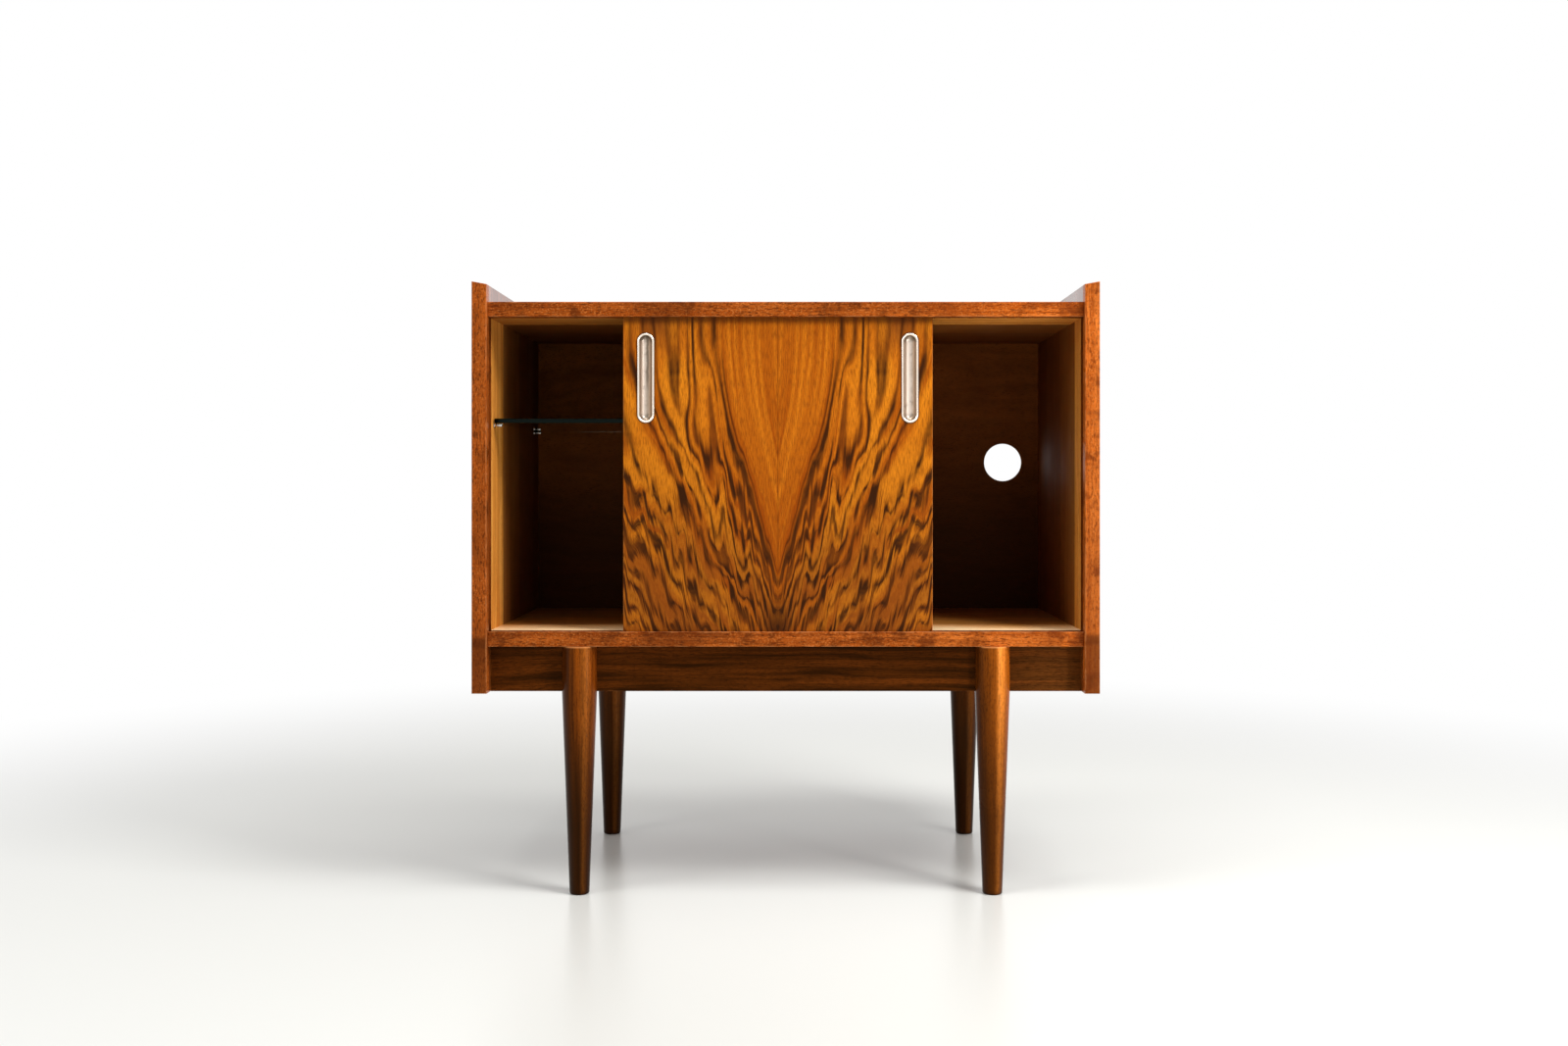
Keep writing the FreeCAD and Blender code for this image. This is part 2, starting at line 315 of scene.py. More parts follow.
feed(grain_out["Band"], grain_noise(2.5, given["Bands"], 3))
feed(grain_out["Line"], grain_noise(14, 650, 2))
feed(grain_out["Pore"], step(grain_noise(140, 760, 2), 0.52, 0.64))
feed(grain_out["Fleck"], step(grain_noise(given["Flecks"], 1300, 1), 0.56, 0.7))
feed(grain_out["Cloud"], noise(given["Point"], 11, detail=3))
print("straight grain takes", len(grain_tree.nodes), "nodes")

# %% [markdown]
# ## Rubbed edges
#
# Handling rubs the lacquer thin along the sharp edges first, and there the bare wood looks paler.
# Pointiness finds edges only on a dense mesh, and these boards have few vertices. But near an edge a
# point is close to two faces of its board at once. So the group measures the distance to each pair of
# faces, takes the second smallest, and frays the result with noise.

# %% Rubbed edge group
edge_tree, given, edge_out = new_group(
    "rubbed_edges",
    {"Point": VECTOR, "Low": VECTOR, "High": VECTOR, "Width": VALUE},
    {"Rubbed": VALUE},
)
gaps = []
for place, low, high in zip(*[split(given[name]) for name in ("Point", "Low", "High")]):
    gaps.append(least(place - low, high - place))
second = gaps[0] + gaps[1] + gaps[2] - least(*gaps) - most(*gaps)
fray = step(noise(given["Point"], 60, detail=3), 0.35, 0.7, 0.25, 1.6)
feed(edge_out["Rubbed"], step(second, 0, given["Width"] * fray, 1, 0))
print("rubbed edges takes", len(edge_tree.nodes), "nodes")

# %% [markdown]
# Each material places the two groups with its own values. The grain runs along X in the group, and a
# quarter turn about Y stands it upright. The bands of the grain give a wood its ground colour.

# %% Groups in a material
ALONG_X = (0, 0, 0)
ALONG_Z = (0, math.radians(90), 0)


def grain_of(place, rotation, bands, flecks, wander):
    inputs = {"Point": turned(place, rotation), "Bands": bands, "Flecks": flecks, "Wander": wander}
    return wires(add_node(place.tree, "ShaderNodeGroup", inputs, node_tree=grain_tree))


def rubbed_of(place, low, high, width):
    inputs = {"Point": place, "Low": low, "High": high, "Width": width}
    return follow("ShaderNodeGroup", inputs, node_tree=edge_tree)


def banded(wood, dark, light, low=0.32, high=0.68):
    return blend(step(wood["Band"], low, high), dark, light)


print("upright grain is turned by", round(ALONG_Z[1], 3), "radians")

# %% [markdown]
# ## Red-brown lippings
#
# Solid strips cover the front edges of the boards, stained red-brown and lacquered, with the grain along
# them. The stain took unevenly: it turns more orange towards the right, cloudy patches stay darker, and
# so do the ends of the uprights below the floor, where dirt marks the joint. Five materials could be
# built by hand, but the strips differ only in direction and box, so one function makes them all. Where a
# strip meets its board there is no edge to rub, so its box is stretched past the joint.

# %% Lipping finish
BELOW_FLOOR_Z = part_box("bottom_panel")[0].z
INNER_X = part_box("right_side_panel")[0].x
ORANGE_FROM_X = (0.25, 0.48)
LOWER_PART_Z = (0.3, 0.66)
JOINT_Z = BELOW_FLOOR_Z + 15 * MM
LACQUER = 0.2
AMBER = (255, 200, 140)
STAINED = (72, 27, 4)
BEHIND = Vector((0, 50 * MM, 0))


def lacquer(level):
    """Sockets of a lacquer that mirrors this much. It has yellowed, so its mirror image is warm."""
    return {"Specular IOR Level": level, "Specular Tint": AMBER}


def lipping_finish(name, rotation, ends):
    low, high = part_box(name)
    material, place = new_material(name)
    wood = grain_of(place, rotation, bands=130, flecks=260, wander=0.02)
    x, y, z = split(place)
    right = step(wood["Cloud"] * 0.35 + x, *ORANGE_FROM_X)
    stain = blend(right, (148, 64, 10), (180, 82, 18))
    pale = blend(right, (186, 92, 28), (224, 120, 44))
    deep = blend(right, (74, 25, 3), (104, 38, 5))
    glint = noise(place, 420)
    smudge = noise(place, 31, detail=4, roughness=0.6)
    upright = abs(x) > INNER_X
    uneven_z = wood["Cloud"] * (14 * MM) + z
    end = step(uneven_z, BELOW_FLOOR_Z + 8 * MM, BELOW_FLOOR_Z + 28 * MM, 0.6, 0)
    joint = step(abs(uneven_z - JOINT_Z), 3 * MM, 10 * MM, 0.6, 0)
    rubbed = rubbed_of(place, low - ends, high + BEHIND + ends, 1.3 * MM)
    colour = coats(
        banded(wood, stain, pale, 0.35, 0.7),
        (step(glint, 0.5, 0.66, 0, 0.5), (214, 130, 62)),
        (step(wood["Cloud"], 0.46, 0.7, 0, 0.55), deep),
        (step(smudge, 0.52, 0.66, 0, 0.7), deep),
        (step(wood["Line"], 0.5, 0.75, 0, 0.6), deep),
        # painted light: the uprights left of the orange part are painted paler
        (upright * (1 - right) * 0.35, pale),
        (step(z, *LOWER_PART_Z, 0.45, 0) * upright * right, deep),
        (upright * end, STAINED),
        (upright * joint, STAINED),
        (wood["Pore"] * 0.75, deep),
        (wood["Fleck"] * 0.6, deep),
        (rubbed * 0.5, (214, 140, 84)),
    )
    paint(material, {
        "Base Color": colour,
        "Roughness": rubbed * 0.2 + step(wood["Cloud"], 0.3, 0.7, 0.24, 0.36),
        "Normal": bump(wood["Line"] - wood["Pore"], 0.2 * MM, 0.4),
        **lacquer(LACQUER),
    }, name)


print("lippings turn orange from X =", ORANGE_FROM_X[0])

# %% [markdown]
# The ends of the uprights are free, and rubbed as well. The other strips lie between the sides, so their
# boxes are stretched at the ends too.

# %% Lippings
FREE = Vector((0, 0, 0))
JOINED = Vector((50 * MM, 0, 0))

for name in ("left_side_lipping", "right_side_lipping", "partition_lipping"):
    lipping_finish(name, ALONG_Z, FREE)
for name in ("top_lipping", "bottom_lipping"):
    lipping_finish(name, ALONG_X, JOINED)
print("lippings of the case finished: 5")

# %% [markdown]
# ## Case veneer
#
# The boards of the case are veneered red-brown outside and honey-coloured inside. The inner veneer was
# laid in leaves about 117 mm wide, whose seams show as thin dark lines. Painted shade darkens the leaves
# further back, so the front leaf is the palest, and on the right side it is narrower. A strip of painted
# light lies pale along the front of the floor, and painted shade darkens the ceiling above the shelf.
# Each veneer is a function, so that both can go into one material.

# %% Outer and inner veneer
FLOOR_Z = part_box("bottom_panel")[1].z
CEILING_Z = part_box("top_panel")[0].z
TOP_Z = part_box("top_panel")[1].z
FRONT_Y = cad_box[0][1]
HAIR = 0.3 * MM
LEAF_WIDTH = 117 * MM
DEEPER_SHADE_SHARES = (0.78, 0.5, 0.4)
PAINTED_SHADE_HONEY = (104, 50, 18)


def outer_veneer(wood, rubbed):
    return coats(
        banded(wood, (104, 46, 12), (158, 78, 26)),
        (step(wood["Cloud"], 0.45, 0.7, 0, 0.4), (96, 42, 12)),
        (step(wood["Line"], 0.48, 0.75, 0, 0.6), (78, 32, 8)),
        (wood["Pore"] * 0.45, (70, 28, 8)),
        (rubbed * 0.5, (206, 134, 80)),
    )


def inner_veneer(wood, seam, x, depth, z):
    colour = banded(wood, (208, 126, 44), (236, 164, 74))
    on_floor = z < FLOOR_Z + HAIR
    ragged = wood["Band"] * (4 * MM) + depth
    # painted shade: each leaf further back is painted darker
    for share in DEEPER_SHADE_SHARES:
        deeper_shade = step(ragged, seam, seam + 3 * MM, 0, share) * (on_floor * -0.4 + 1)
        line = step(abs(depth - seam), 0.6 * MM, 1.6 * MM, 0.7, 0)
        colour = coats(colour, (deeper_shade, PAINTED_SHADE_HONEY), (line, (48, 20, 6)))
        seam += LEAF_WIDTH
    # painted shade over the left bay of the ceiling
    painted_ceiling_shade = (z > CEILING_Z - HAIR) * step(x, -0.1, 0.2, 0.5, 0)
    # painted light: a pale strip along the front of the floor
    painted_light_and_wear = step(wood["Cloud"] * 0.08 + depth, 0.05, 0.18, 0.95, 0)
    return coats(
        colour,
        (step(wood["Line"], 0.5, 0.75, 0, 0.5), (140, 80, 28)),
        (painted_ceiling_shade, PAINTED_SHADE_HONEY),
        (painted_light_and_wear * on_floor, (246, 218, 172)),
    )


print("inner height of the case:", round(CEILING_Z - FLOOR_Z, 4), "m")

# %% [markdown]
# One mesh holds both faces of a board. They could have two materials, but the frame's meshes stay as
# they are, so the finish asks where a point lies: between the sides, the floor and the ceiling is inside.
# Above the top the inner faces of the sides are polished, and the rest of the outside has a thin coat.
# Each board has its own material, because the rubbed edges need its box.

# %% Case finish
FIRST_SEAM = 111 * MM
RIGHT_FIRST_SEAM = 76 * MM


def case_finish(name, rotation, ends):
    low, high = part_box(name)
    material, place = new_material(name)
    wood = grain_of(place, rotation, bands=90, flecks=90, wander=0.04)
    x, y, z = split(place)
    seam = RIGHT_FIRST_SEAM if name == "right_side_panel" else FIRST_SEAM
    outer = outer_veneer(wood, rubbed_of(place, low - BEHIND - ends, high + ends, 1.6 * MM))
    inner = inner_veneer(wood, seam, x, y - FRONT_Y, z)
    between = abs(x) < INNER_X + HAIR
    inside = between * (z > FLOOR_Z - HAIR) * (z < CEILING_Z + HAIR)
    polish = between * (z > TOP_Z + HAIR) * 0.65 + 0.15
    paint(material, {
        "Base Color": coats(outer, (inside, inner), (wood["Fleck"] * 0.45, (86, 38, 10))),
        "Coat Weight": (1 - inside) * polish,
        "Coat Roughness": 0.16,
        "Roughness": inside * 0.36 + step(wood["Cloud"], 0.3, 0.7, 0.22, 0.36),
        "Normal": bump(wood["Line"], 0.2 * MM, 0.3),
        **lacquer(LACQUER),
    }, name)


for name in ("left_side_panel", "right_side_panel", "centre_partition"):
    case_finish(name, ALONG_Z, FREE)
for name in ("top_panel", "bottom_panel"):
    case_finish(name, ALONG_X, JOINED)
print("case finished,", round(2 * INNER_X, 3), "m wide inside")

# %% [markdown]
# ## Flame veneer of the door
#
# The door is the show piece. Two leaves cut one after the other from the fork of a tree were opened
# like a book, so the figure is mirrored about the middle. A wave texture could give veins, but they would
# look printed, so the figure is drawn in the leaf's own coordinates: u runs from the middle to the edge,
# and t from the top down. A fan of lines starts upright at the top and spreads downwards, and the number
# s says on which line of the fan a point lies.

# %% Leaf coordinates
DOOR_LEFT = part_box("door_left_lipping")[0].x
DOOR_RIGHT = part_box("door_right_lipping")[1].x
DOOR_MIDDLE = (DOOR_LEFT + DOOR_RIGHT) / 2
DOOR_HALF = (DOOR_RIGHT - DOOR_LEFT) / 2
FAN_BEND = 2.17
FAN_REACH = 0.795

figure_parts = {"Colour": COLOUR, "Vein": VALUE}
flame_tree, given, flame_out = new_group("flame_figure", {"Point": VECTOR}, figure_parts)


def leaf_noise(a, often_a, b, often_b, seed, detail, roughness=0.5):
    """Noise over two leaf coordinates, given how often it changes along each."""
    return noise(point(a * often_a, b * often_b, seed), 1, detail, roughness)


def leaf_swing(*values):
    return leaf_noise(*values) - 0.5


def bell(value, middle, half):
    """1 at the middle, and falling off smoothly on both sides."""
    off = (value - middle) / half
    return reckon("EXPONENT", off * off * -1)


x, y, z = split(given["Point"])
u = abs(x - DOOR_MIDDLE) / DOOR_HALF
t_straight = (CEILING_Z - z) / (CEILING_Z - FLOOR_Z)
low_down = step(t_straight, 0.2, 0.7)
t = leaf_swing(u, 5, t_straight, 3, 7.7, 0) * (low_down * 0.12) + t_straight
t += leaf_swing(u, 24, t_straight, 4.5, 4.4, 0) * (low_down * 0.08 + 0.012)
fan = most(t, 0) ** FAN_BEND * FAN_REACH
spread = fan * (u * 0.95 + 0.78)
s = u + spread
print("fan drawn over a leaf", round(DOOR_HALF, 4), "m wide")

# %% [markdown]
# Outside the plain middle, slow noise bends the lines, and folds push some of them aside, which gives
# the tall loops beside the middle. The fibre is a fine noise along the lines that frays the veins later.

# %% Bends and folds
# Each fold: its u at the top, its lean, its half width, where it starts and ends in t, and its height.
FOLDS = (
    (0.605, -0.03, 0.045, (-0.5, -0.4), (0.22, 0.46), 0.1),
    (0.47, -0.17, 0.04, (0.08, 0.22), (0.45, 0.7), 0.09),
    (0.42, -0.12, 0.032, (0.44, 0.54), (0.62, 0.85), 0.1),
    (0.29, -0.14, 0.028, (0.62, 0.72), (0.8, 0.98), 0.1),
)

fibre = leaf_swing(spread * 0.28 + u, 46, t_straight, 5, 4.4, 2, 0.6)
outer = step(s, 0.36, 0.7)
bend = leaf_swing(s, 2.4, t, 2.6, 3.1, 1) * 0.26
bend += leaf_swing(s, 5, t, 5, 8.6, 1) * (low_down * 0.14 + 0.04)
s += bend * outer
for fold_u, lean, half, start, end, height in FOLDS:
    in_fold = bell(u, t * lean + fold_u, half) * step(t, *start) * step(t, *end, 1, 0)
    s += in_fold * height
print("folds in each leaf:", len(FOLDS))

# %% [markdown]
# Veins lie where the fan crosses evenly spaced values. The fibre frays them into strokes like flames,
# and slower noise lets them swell and fade. The plain middle is bounded by a double line, a dark fork
# closes the figure at the foot, and a hairline marks the seam of the two leaves.

# %% Veins of the door's figure
VEINS = 22
DENSE_UP_TO = 0.95
SPARSER = 0.55

ring_s = (most(s, DENSE_UP_TO) - DENSE_UP_TO) * SPARSER + least(s, DENSE_UP_TO)
ring = reckon("PINGPONG", ring_s * VEINS, 1)
value = leaf_swing(ring_s, 8, t, 5, 1.3, 2) * 1.3 + ring
value += fibre * (low_down * 2.4 + 0.35)
value += low_down * 0.16
strength = step(leaf_noise(s, 7, t, 6, 5.9, 3, 0.6), 0.32, 0.58, 0.35, 1)
figured = step(s, 0.36, 0.42)
border = most(bell(s, 0.405, 0.014), bell(s, 0.372, 0.008) * 0.7)
dark = most(
    step(value, 0.5, 1.15) * strength * figured,
    border * step(t, 0.02, 0.2) * strength,
    step(t_straight, 0.84, 0.99) * step(fibre * 0.1 + u, 0.02, 0.12, 0.8, 0),
    step(u, 0.002, 0.006, 0.3, 0),
)
print("veins across a leaf:", VEINS)

# %% [markdown]
# Between the veins the ground changes from bright orange to a brown wash, which is strongest low down
# and in the upper corners. Each vein has a brown halo, and short specks follow the pores.

# %% Colours of the door's figure
painted_gleam_and_streak = leaf_noise(s, 26, t, 1.1, 2, 3, 0.6)
glow = step(leaf_noise(s, 6, t, 3, 9.1, 2), 0.44, 0.62, 0, 0.65) * outer
patch = step(leaf_noise(s, 3, t, 3, 3.3, 3, 0.6), 0.3, 0.6, 0.1, 0.6)
wash = most(
    step(t_straight, 0.35, 0.95) * outer * patch,
    bell(u, 0.58, 0.34) * step(fibre * 0.25 + t_straight, 0.76, 1, 0, 0.75),
    bell(u, 0.8, 0.1) * step(fibre * 0.1 + t_straight, 0.02, 0.16, 0.85, 0),
)
brown_band = fibre * 0.4 + leaf_noise(s, 4.2, t, 2.6, 6.6, 3, 0.6)
halo = step(value, 0.25, 0.85) * step(brown_band, 0.4, 0.66, 0.25, 1)
speck = leaf_noise(x, 800, z, 80, 0, 3, 0.65)
colour = coats(
    blend(step(painted_gleam_and_streak, 0.25, 0.78), (152, 66, 4), (216, 122, 22)),
    (step(t_straight, 0.15, 0.75, 0, 0.25), (142, 58, 2)),
    (glow, (226, 136, 26)),
    (wash, (116, 60, 18)),
    (halo * figured * step(t, 0, 0.9, 0.6, 1), (106, 48, 8)),
    (step(speck, 0.42, 0.66, 0, 0.6), (116, 54, 8)),
    (dark, (44, 16, 3)),
)
feed(flame_out["Colour"], colour)
feed(flame_out["Vein"], dark)
print("flame figure takes", len(flame_tree.nodes), "nodes")

# %% [markdown]
# The veneer is lacquered, and it runs on over the front of the lippings at both ends of the door, so
# all three pieces share one material. The lacquer sinks a little into the open pores, which the bump
# shows. The edges of the door are rubbed pale, a thin painted shadow rings the pulls where their rims
# meet the door, and a painted shadow from the lip of the case darkens the top of the door.

# %% Door finish
DOOR_LOW, DOOR_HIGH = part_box("door_panel")
DOOR_FACE_Y = DOOR_LOW.y
PULLS = ("left_pull", "right_pull")


def round_pull(x, z, name):
    """Distance outwards from the rim of a pull, which has straight sides and round ends."""
    low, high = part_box(name)
    middle = (low + high) / 2
    radius = (high.x - low.x) / 2
    straight = (high.z - low.z) / 2 - radius
    past_straight = most(abs(z - middle.z) - straight, 0)
    return length(point(x - middle.x, past_straight, 0)) - radius


material, place = new_material("door_veneer")
figure = wires(add_node(place.tree, "ShaderNodeGroup", {"Point": place}, node_tree=flame_tree))
wood = grain_of(place, ALONG_Z, bands=90, flecks=110, wander=0.02)
x, y, z = split(place)
lipping = banded(wood, (140, 60, 10), (186, 90, 26), 0.3, 0.7)
lipping = blend(wood["Pore"] * 0.7, lipping, (84, 30, 4))
whole_low = Vector((DOOR_LEFT, *DOOR_LOW.yz))
whole_high = Vector((DOOR_RIGHT, *DOOR_HIGH.yz))
rubbed = rubbed_of(place, whole_low, whole_high, 1.2 * MM)
colour = coats(
    figure["Colour"],
    (abs(x - DOOR_MIDDLE) > DOOR_HALF - HAIR, lipping),
    (rubbed * 0.4, (214, 140, 70)),
    # painted shadow of the case's lip along the top of the door
    (step(DOOR_HIGH.z - z, 7 * MM, 17 * MM, 0.65, 0), (70, 28, 6)),
)
# painted shadow in a thin ring round each pull, where its rim meets the door
for name in PULLS:
    painted_rim_shadow = step(round_pull(x, z, name), 0.3 * MM, 1.5 * MM, 0.85, 0)
    colour = blend(painted_rim_shadow, colour, (44, 20, 8))
paint(material, {
    "Base Color": colour,
    "Roughness": figure["Vein"] * 0.06 + step(wood["Cloud"], 0.3, 0.7, 0.24, 0.36),
    "Normal": bump(1 - wood["Fleck"], 0.15 * MM, 0.5),
    **lacquer(LACQUER),
}, "door_panel", "door_left_lipping", "door_right_lipping")
print("door finished, from", round(DOOR_LEFT, 4), "to", round(DOOR_RIGHT, 4))

# %% [markdown]
# ## Plywood back
#
# The back is thin brown plywood. Its face was peeled round the log, so the grain wanders in wide wavy
# bands, which the straight grain gives when its lines may stray far. Inside it is stained dark to match
# the case, and painted light makes it paler towards the top. The rear face was never stained or
# lacquered, and the cable hole cuts through the plies, which show in its edge as pale and dark layers.

# %% Back finish
REAR_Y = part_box("back_panel")[1].y
PLY_THICKNESS = 5 * MM / 3
CABLE_HOLE = [mount for mount in frame["record"]["mounts"] if mount["name"] == "cable_hole"][0]
HOLE_X, HOLE_Y, HOLE_Z = CABLE_HOLE["pos_m"]
HOLE_RADIUS = CABLE_HOLE["dims"]["r_mm"] * MM

material, place = new_material("back_plywood")
wood = grain_of(place, ALONG_X, bands=26, flecks=130, wander=0.16)
x, y, z = split(place)
# painted light: the back grows paler towards the top
painted_light_and_white_fade = step(wood["Cloud"] * 0.1 + z, 0.48, 0.7)
dark = blend(painted_light_and_white_fade, (46, 19, 6), (104, 54, 20))
light = blend(painted_light_and_white_fade, (76, 36, 11), (164, 94, 38))
mottle = noise(turned(place, scale=(28, 90, 90)), detail=4, roughness=0.65)
stained = coats(
    blend(mottle * 0.6 + step(wood["Band"], 0.3, 0.7, 0, 0.4), dark, light),
    (step(wood["Cloud"], 0.45, 0.7, 0, 0.45), dark),
    (wood["Fleck"] * 0.5, (40, 16, 4)),
)
bare = coats(
    banded(wood, (132, 88, 50), (176, 130, 82), 0.3, 0.7),
    (step(wood["Line"], 0.48, 0.75, 0, 0.45), (110, 70, 38)),
    (wood["Fleck"] * 0.5, (92, 56, 30)),
)
behind = y > REAR_Y - HAIR
in_hole = length(point(x - HOLE_X, 0, z - HOLE_Z)) < HOLE_RADIUS + HAIR
ply = reckon("SINE", y * (2 * math.pi / PLY_THICKNESS))
plies = blend(step(ply, -0.3, 0.3), (96, 58, 28), (178, 128, 76))
paint(material, {
    "Base Color": coats(stained, (behind, bare), (in_hole, plies)),
    "Roughness": behind * 0.3 + 0.42,
    "Normal": bump(wood["Line"], 0.3 * MM, 0.5),
    **lacquer(0.12),
}, "back_panel")
print("back finished, with a hole", 2 * HOLE_RADIUS, "m across")

# %% [markdown]
# ## Rails and bare wood
#
# The rails under the case are dark walnut with fine straight grain, with painted light making them a
# little paler at the right end, and rubbed along their arrises. The tongues, the glue blocks and the
# glides stay out of sight, yet a cabinet that is taken apart shows them, so they get plain finishes, the
# wood from the same function.

# %% Rail and bare finishes
WALNUT = ((42, 17, 1), (97, 46, 9), (28, 10, 1), (126, 72, 28))
PINE = ((190, 150, 96), (220, 184, 130), (160, 116, 64), (232, 204, 156))
PAINTED_LIGHT_RIGHT_X = (0.22, 0.36)


def plain_finish(name, rotation, colours, bands, roughness):
    """Straight-grained finish from a dark, a light, a line and a pale colour, which marks the rubbed
    arrises and paints light on the right end.
    """
    dark, light, line, painted_light_and_wear = colours
    material, place = new_material(name)
    wood = grain_of(place, rotation, bands=bands, flecks=120, wander=0.03)
    colour = coats(
        banded(wood, dark, light),
        # painted light: paler towards the right end
        (step(split(place)[0], *PAINTED_LIGHT_RIGHT_X, 0, 0.4), painted_light_and_wear),
        (step(wood["Line"], 0.48, 0.75, 0, 0.6), line),
        (wood["Pore"] * 0.4, line),
        (wood["Fleck"] * 0.5, line),
        (rubbed_of(place, *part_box(name), 1.5 * MM) * 0.6, painted_light_and_wear),
    )
    paint(material, {
        "Base Color": colour,
        "Roughness": step(wood["Cloud"], 0.3, 0.7, roughness - 0.06, roughness + 0.06),
        "Normal": bump(wood["Line"], 0.2 * MM, 0.35),
        **lacquer(0.07),
    }, name)


for name in ("front_rail", "rear_rail"):
    plain_finish(name, ALONG_X, WALNUT, 110, 0.4)
for name in ("glue_blocks", "panel_tongues"):
    plain_finish(name, ALONG_X, PINE, 60, 0.62)
for name in ("partition_tongues", "rail_tongues"):
    plain_finish(name, ALONG_Z, PINE, 60, 0.62)

material, place = new_material("glide_nylon")
scuff = noise(turned(place, scale=(40, 900, 900)), detail=3)
paint(material, {
    "Base Color": blend(step(scuff, 0.4, 0.7), (206, 200, 184), (150, 142, 126)),
    "Roughness": step(scuff, 0.3, 0.7, 0.35, 0.6),
    "Normal": bump(scuff, 0.05 * MM, 0.3),
}, "door_glides")
print("rails, blocks, tongues and glides finished")

# %% [markdown]
# ## Making new pieces
#
# The frame's own legs, pulls and pins have few facets, so rounder pieces take their places. Round things
# were made on a lathe, and spinning a profile round an axis is the same in Blender. A cylinder with a
# bevel would also do for some, but a profile holds tapers, collars and rounded arrises at once.

# %% Profiles
WHOLE_TURN = 2 * math.pi
HALF_TURN = math.pi
QUARTER_TURN = math.pi / 2
UPRIGHT = {"cent": (0, 0, 0), "axis": (0, 0, 1)}
SAME_PLACE = 1e-6


def draw(shape, profile, start=0):
    """Draws (radius, height) points as a line beside the upright axis."""
    turn = Matrix.Rotation(start, 3, "Z")
    dots = [shape.verts.new(turn @ Vector((radius, 0, z))) for radius, z in profile]
    return dots + [shape.edges.new(pair) for pair in zip(dots, dots[1:])]


def rounded_corner(radius, z, ease, upward):
    """Points (radius, z) that round an arris off, from the flat end to the side."""
    turns = [math.radians(angle) for angle in (0, 22.5, 45, 67.5, 90)]
    flat = radius - ease
    return [(flat + ease * math.sin(turn), z + upward * ease * (1 - math.cos(turn))) for turn in turns]


def spun(profile, steps):
    """Shape of a profile that is spun right round the axis."""
    shape = bmesh.new()
    line = draw(shape, profile)
    bmesh.ops.spin(shape, geom=line, angle=WHOLE_TURN, steps=steps, use_merge=True, **UPRIGHT)
    bmesh.ops.remove_doubles(shape, verts=shape.verts, dist=SAME_PLACE)
    return shape


print("an arris is rounded by", len(rounded_corner(1, 0, 1, 1)), "points")

# %% [markdown]
# A bmesh is only a working copy. It becomes a mesh, which can be copied to several places, and then a
# piece that rides on a body of the frame and takes one of its finishes.

# %% Meshes and pieces
def new_mesh(name, shape):
    mesh = bpy.data.meshes.new(name)
    shape.to_mesh(mesh)
    shape.free()
    return mesh


def copies(mesh, places):
    """Shape with a copy of a mesh at each place, which is a matrix."""
    shape = bmesh.new()
    for place in places:
        first = len(shape.verts)
        shape.from_mesh(mesh)
        shape.verts.ensure_lookup_table()
        bmesh.ops.transform(shape, matrix=place, verts=shape.verts[first:])
    return shape


def new_piece(name, shape, body, material):
    """Turns a bmesh into a piece that rides on a body, with smooth faces and sharp corners."""
    mesh = new_mesh(name, shape)
    mesh.shade_smooth()
    mesh.set_sharp_from_angle(angle=math.radians(32))
    mesh.materials.append(material)
    piece = bpy.data.objects.new(name, mesh)
    scene.collection.objects.link(piece)
    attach(piece, body)
    print(name, "has", len(mesh.polygons), "faces")
    return piece


# %% [markdown]
# ## Turned legs
#
# Each leg's top is lapped over the rail: the front half runs on up to the floor of the case, and the
# back half stops under the rail. A boolean could cut the lap, but it leaves untidy faces, so the two
# halves are spun from two profiles and the flat face between them is filled.

# %% Leg shape
LEG_AXIS_X = 266 * MM
LEG_RADIUS = 22.5 * MM
FOOT_RADIUS = 12.75 * MM
FOOT_EASE = 2.5 * MM
TOP_EASE = 2 * MM
SHOULDER_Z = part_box("front_rail")[0].z
LEG_TOP_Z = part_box("front_left_leg")[1].z


def leg_shape(x, y):
    shape = bmesh.new()
    lower = [(0, 0)] + rounded_corner(FOOT_RADIUS, 0, FOOT_EASE, 1) + [(LEG_RADIUS, SHOULDER_Z)]
    top = rounded_corner(LEG_RADIUS, LEG_TOP_Z, TOP_EASE, -1)
    front_half = draw(shape, lower + top[::-1] + [(0, LEG_TOP_Z)], HALF_TURN)
    bmesh.ops.spin(shape, geom=front_half, angle=HALF_TURN, steps=32, **UPRIGHT)
    back_half = draw(shape, lower + [(0, SHOULDER_Z)])
    bmesh.ops.spin(shape, geom=back_half, angle=HALF_TURN, steps=32, **UPRIGHT)
    bmesh.ops.remove_doubles(shape, verts=shape.verts, dist=SAME_PLACE)
    open_edges = [line for line in shape.edges if line.is_boundary]
    bmesh.ops.holes_fill(shape, edges=open_edges)
    bmesh.ops.recalc_face_normals(shape, faces=shape.faces)
    facing = HALF_TURN if y > 0 else 0
    place = Matrix.Translation((x, y, 0)) @ Matrix.Rotation(facing, 4, "Z")
    bmesh.ops.transform(shape, matrix=place, verts=shape.verts)
    return shape


print("a leg widens from", FOOT_RADIUS, "to", LEG_RADIUS)

# %% [markdown]
# The legs are stained brown and lacquered to a gloss, amber near the top and deeper towards the feet. A
# golden painted highlight runs down each leg right of its middle, strongest in the front right leg,
# which painted light makes lighter all over. Painted shade darkens the left flanks and the rear legs. A
# pale painted highlight lies on the top arris, and the feet darken towards the floor.

# %% Legs
AMBER_FROM_Z = (0.12, 0.36)
PAINTED_GLEAM_SIDE = 0.42
TAPER = (LEG_RADIUS - FOOT_RADIUS) / SHOULDER_Z

